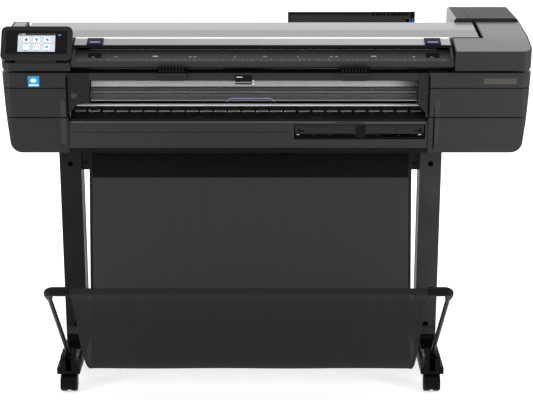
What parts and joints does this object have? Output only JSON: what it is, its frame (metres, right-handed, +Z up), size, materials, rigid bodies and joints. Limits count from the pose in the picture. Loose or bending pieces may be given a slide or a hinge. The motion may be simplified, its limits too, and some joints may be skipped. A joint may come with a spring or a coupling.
{
  "type": "large format plotter",
  "caption": "Wide-format inkjet plotter with a document scanner on top, tilting touch panel, wheeled stand and fabric sheet bin.",
  "frame": {"origin": "on the floor, under the middle of the whole object with the bin open", "axes": "+X along the body to the right as the operator sees it, +Y from the operator to the rear, +Z up"},
  "size_m": [1.412, 0.8914, 0.9987],
  "materials": {
    "body_grey": "fine moulded texture, satin",
    "body_warm": "fine moulded texture, satin",
    "black_plastic": "moulded, satin",
    "silver_paint": "silver paint, satin",
    "clear_window": "clear plastic",
    "scan_glass": "polished glass",
    "steel_plate": "zinc plated",
    "rail_metal": "extruded, anodised",
    "roller_rubber": "ground rubber on a steel shaft",
    "stand_metal": "black powder coat",
    "bin_metal": "black powder coat",
    "bin_fabric": "woven polyester",
    "caster_plastic": "moulded nylon",
    "blue_plastic": "moulded",
    "board": "solder resist",
    "ink_plastic": "moulded",
    "tray_plastic": "ribbed moulding, satin",
    "motor_steel": "drawn can"
  },
  "bodies": {
    "root": {"base_tray": "black_plastic", "side_plates": "steel_plate", "left_lower_cover": "body_warm", "left_upper_cover": "body_warm", "right_lower_cover": "body_grey", "right_upper_cover": "body_grey", "front_cover": "body_grey", "window_frame": "black_plastic", "rear_top_cover": "body_grey", "platen": "tray_plastic", "carriage_rail": "rail_metal", "carriage_belt": "roller_rubber", "drive_motors": "motor_steel", "ink_cartridges": "ink_plastic", "service_station": "black_plastic", "mainboard": "board", "power_inlet": "black_plastic", "scanner_base": "body_grey", "scanner_glass": "scan_glass", "image_sensors": "black_plastic", "left_end_cap": "body_warm", "right_end_cap": "body_grey", "rear_box": "body_grey", "legs": "stand_metal", "crossbar": "stand_metal", "foot_left": "black_plastic", "foot_right": "black_plastic", "leg_bolts": "stand_metal", "fabric_rear": "bin_fabric"},
    "ink_door": {"ink_door": "body_warm"},
    "sheet_tray": {"sheet_tray": "tray_plastic"},
    "window_pane": {"window_pane": "clear_window"},
    "roll_cover": {"roll_cover": "body_grey"},
    "rear_tray": {"rear_tray": "tray_plastic"},
    "sheet_guide": {"sheet_guide": "blue_plastic"},
    "control_panel": {"control_panel": "body_grey"},
    "scanner_lid": {"scanner_lid": "silver_paint"},
    "latch_left": {"latch_left": "black_plastic"},
    "latch_right": {"latch_right": "black_plastic"},
    "deflector_left": {"deflector_left": "black_plastic"},
    "deflector_right": {"deflector_right": "black_plastic"},
    "carriage": {"carriage": "black_plastic"},
    "drive_pulley": {"drive_pulley": "steel_plate"},
    "idler_pulley": {"idler_pulley": "steel_plate"},
    "feed_roller": {"feed_roller": "roller_rubber"},
    "pinch_rollers": {"pinch_rollers": "roller_rubber"},
    "output_rollers": {"output_rollers": "roller_rubber"},
    "roll_spindle": {"roll_spindle": "black_plastic"},
    "scanner_roller": {"scanner_roller": "roller_rubber"},
    "bin": {"bin_arms": "bin_metal", "bin_bar": "bin_metal", "fabric_front": "bin_fabric"},
    "fork_front_left": {"fork_front_left": "caster_plastic"},
    "wheels_front_left": {"wheels_front_left": "caster_plastic"},
    "fork_front_right": {"fork_front_right": "caster_plastic"},
    "wheels_front_right": {"wheels_front_right": "caster_plastic"},
    "fork_rear_left": {"fork_rear_left": "caster_plastic"},
    "wheels_rear_left": {"wheels_rear_left": "caster_plastic"},
    "fork_rear_right": {"fork_rear_right": "caster_plastic"},
    "wheels_rear_right": {"wheels_rear_right": "caster_plastic"}
  },
  "joints": [
    {"name": "ink_door_hinge", "type": "hinge", "parent": "root", "child": "ink_door", "pos_m": [-0.61, 0.006, 0.6616], "axis": [1, 0, 0], "range_deg": [0, 85]},
    {"name": "sheet_tray_slide", "type": "slide", "parent": "root", "child": "sheet_tray", "axis": [0, -1, 0], "range_m": [0, 0.18]},
    {"name": "window_hinge", "type": "hinge", "parent": "root", "child": "window_pane", "pos_m": [-0.0345, -0.0205, 0.854], "axis": [-1, 0, 0], "range_deg": [0, 80]},
    {"name": "roll_cover_hinge", "type": "hinge", "parent": "root", "child": "roll_cover", "pos_m": [-0.048, 0.4085, 0.668], "axis": [-1, 0, 0], "range_deg": [0, 70]},
    {"name": "rear_tray_hinge", "type": "hinge", "parent": "root", "child": "rear_tray", "pos_m": [0.246, 0.3235, 0.884], "axis": [-1, 0, 0], "range_deg": [0, 45]},
    {"name": "sheet_guide_slide", "type": "slide", "parent": "rear_tray", "child": "sheet_guide", "axis": [-1, 0, 0], "range_m": [0, 0.22]},
    {"name": "panel_tilt", "type": "hinge", "parent": "root", "child": "control_panel", "pos_m": [-0.606, -0.0305, 0.912], "axis": [1, 0, 0], "range_deg": [0, 25]},
    {"name": "scanner_lid_hinge", "type": "hinge", "parent": "root", "child": "scanner_lid", "pos_m": [-0.038, 0.2175, 0.968], "axis": [-1, 0, 0], "range_deg": [0, 55]},
    {"name": "latch_left_pivot", "type": "hinge", "parent": "scanner_lid", "child": "latch_left", "pos_m": [-0.4585, 0.04603, 0.95792], "axis": [-1, 0, 0], "range_deg": [0, 20]},
    {"name": "latch_right_pivot", "type": "hinge", "parent": "scanner_lid", "child": "latch_right", "pos_m": [0.4445, 0.04603, 0.95792], "axis": [-1, 0, 0], "range_deg": [0, 20]},
    {"name": "deflector_left_hinge", "type": "hinge", "parent": "root", "child": "deflector_left", "pos_m": [-0.251, -0.0345, 0.894], "axis": [-1, 0, 0], "range_deg": [0, 75]},
    {"name": "deflector_right_hinge", "type": "hinge", "parent": "root", "child": "deflector_right", "pos_m": [0.234, -0.0345, 0.894], "axis": [-1, 0, 0], "range_deg": [0, 75]},
    {"name": "carriage_slide", "type": "slide", "parent": "root", "child": "carriage", "axis": [1, 0, 0], "range_m": [-0.41, 0.42]},
    {"name": "drive_pulley_spin", "type": "hinge", "parent": "root", "child": "drive_pulley", "pos_m": [-0.505, 0.1515, 0.842], "axis": [0, 1, 0], "continuous": true},
    {"name": "idler_pulley_spin", "type": "hinge", "parent": "root", "child": "idler_pulley", "pos_m": [0.412, 0.1515, 0.842], "axis": [0, 1, 0], "continuous": true},
    {"name": "feed_roller_spin", "type": "hinge", "parent": "root", "child": "feed_roller", "pos_m": [-0.05, 0.1325, 0.774], "axis": [1, 0, 0], "continuous": true},
    {"name": "pinch_roller_spin", "type": "hinge", "parent": "root", "child": "pinch_rollers", "pos_m": [-0.05, 0.1325, 0.7923], "axis": [1, 0, 0], "continuous": true},
    {"name": "output_roller_spin", "type": "hinge", "parent": "root", "child": "output_rollers", "pos_m": [-0.05, 0.005, 0.7619], "axis": [1, 0, 0], "continuous": true},
    {"name": "spindle_spin", "type": "hinge", "parent": "root", "child": "roll_spindle", "pos_m": [-0.05, 0.3625, 0.745], "axis": [1, 0, 0], "continuous": true},
    {"name": "scanner_roller_spin", "type": "hinge", "parent": "scanner_lid", "child": "scanner_roller", "pos_m": [-0.01, 0.0615, 0.9415], "axis": [1, 0, 0], "continuous": true},
    {"name": "bin_fold", "type": "hinge", "parent": "root", "child": "bin", "pos_m": [-0.0445, -0.0945, 0.097], "axis": [-1, 0, 0], "range_deg": [0, 50]},
    {"name": "caster_front_left_swivel", "type": "hinge", "parent": "root", "child": "fork_front_left", "pos_m": [-0.5455, -0.0885, 0.052], "axis": [0, 0, 1], "continuous": true},
    {"name": "caster_front_left_roll", "type": "hinge", "parent": "fork_front_left", "child": "wheels_front_left", "pos_m": [-0.5455, -0.1105, 0.024], "axis": [1, 0, 0], "continuous": true},
    {"name": "caster_front_right_swivel", "type": "hinge", "parent": "root", "child": "fork_front_right", "pos_m": [0.4565, -0.0885, 0.052], "axis": [0, 0, 1], "continuous": true},
    {"name": "caster_front_right_roll", "type": "hinge", "parent": "fork_front_right", "child": "wheels_front_right", "pos_m": [0.4565, -0.1105, 0.024], "axis": [1, 0, 0], "continuous": true},
    {"name": "caster_rear_left_swivel", "type": "hinge", "parent": "root", "child": "fork_rear_left", "pos_m": [-0.5455, 0.3635, 0.052], "axis": [0, 0, 1], "continuous": true},
    {"name": "caster_rear_left_roll", "type": "hinge", "parent": "fork_rear_left", "child": "wheels_rear_left", "pos_m": [-0.5455, 0.3415, 0.024], "axis": [1, 0, 0], "continuous": true},
    {"name": "caster_rear_right_swivel", "type": "hinge", "parent": "root", "child": "fork_rear_right", "pos_m": [0.4565, 0.3635, 0.052], "axis": [0, 0, 1], "continuous": true},
    {"name": "caster_rear_right_roll", "type": "hinge", "parent": "fork_rear_right", "child": "wheels_rear_right", "pos_m": [0.4565, 0.3415, 0.024], "axis": [1, 0, 0], "continuous": true}
  ],
  "couplings": [
    {"joint": "drive_pulley_spin", "follows": "carriage_slide", "rad_per_m": 107.53},
    {"joint": "idler_pulley_spin", "follows": "carriage_slide", "rad_per_m": 107.53},
    {"joint": "pinch_roller_spin", "follows": "feed_roller_spin", "ratio": -2},
    {"joint": "output_roller_spin", "follows": "feed_roller_spin", "ratio": 1.5}
  ]
}
